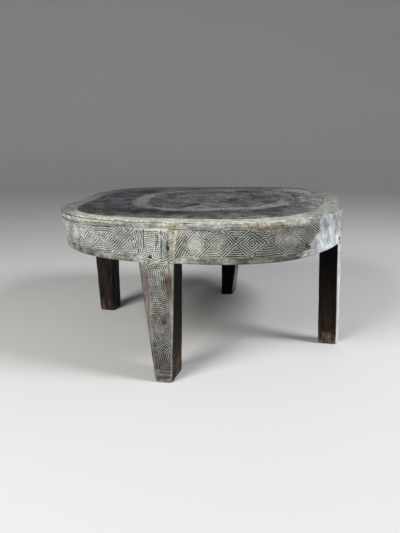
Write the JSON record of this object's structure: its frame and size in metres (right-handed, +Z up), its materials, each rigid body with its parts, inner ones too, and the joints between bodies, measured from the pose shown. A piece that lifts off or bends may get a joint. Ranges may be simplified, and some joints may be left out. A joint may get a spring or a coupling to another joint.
{
  "type": "drum table",
  "caption": "Low drum table: rounded-square hollowed wooden ring with a carved band, inset end-grain top, and tapered hewn legs tenoned up into the ring and pegged.",
  "frame": {"origin": "on the floor under the middle of the table's bounding box", "axes": "+Z up; +X along the longest extent of the top, to the right seen from the side with the carved front leg; +Y away from that side"},
  "size_m": [0.8661, 0.8298, 0.42],
  "materials": {
    "carved_limed_wood": "weathered hardwood with pale lime wash on the carved ridges and darker brown plain bands",
    "end_grain_top": "dark grey-brown worn cross-cut wood with a paler growth ring",
    "leg_wood": "dark reddish-brown hewn wood, pale lime wash on the outer faces",
    "peg_wood": "dark hardwood pegs trimmed flush"
  },
  "bodies": {
    "root": {"drum_shell": "carved_limed_wood", "top_panel": "end_grain_top", "leg_front": "leg_wood", "leg_right": "leg_wood", "leg_back": "leg_wood", "leg_left": "leg_wood", "leg_front_pegs": "peg_wood", "leg_right_pegs": "peg_wood", "leg_back_pegs": "peg_wood", "leg_left_pegs": "peg_wood", "panel_pegs": "peg_wood"}
  },
  "joints": []
}
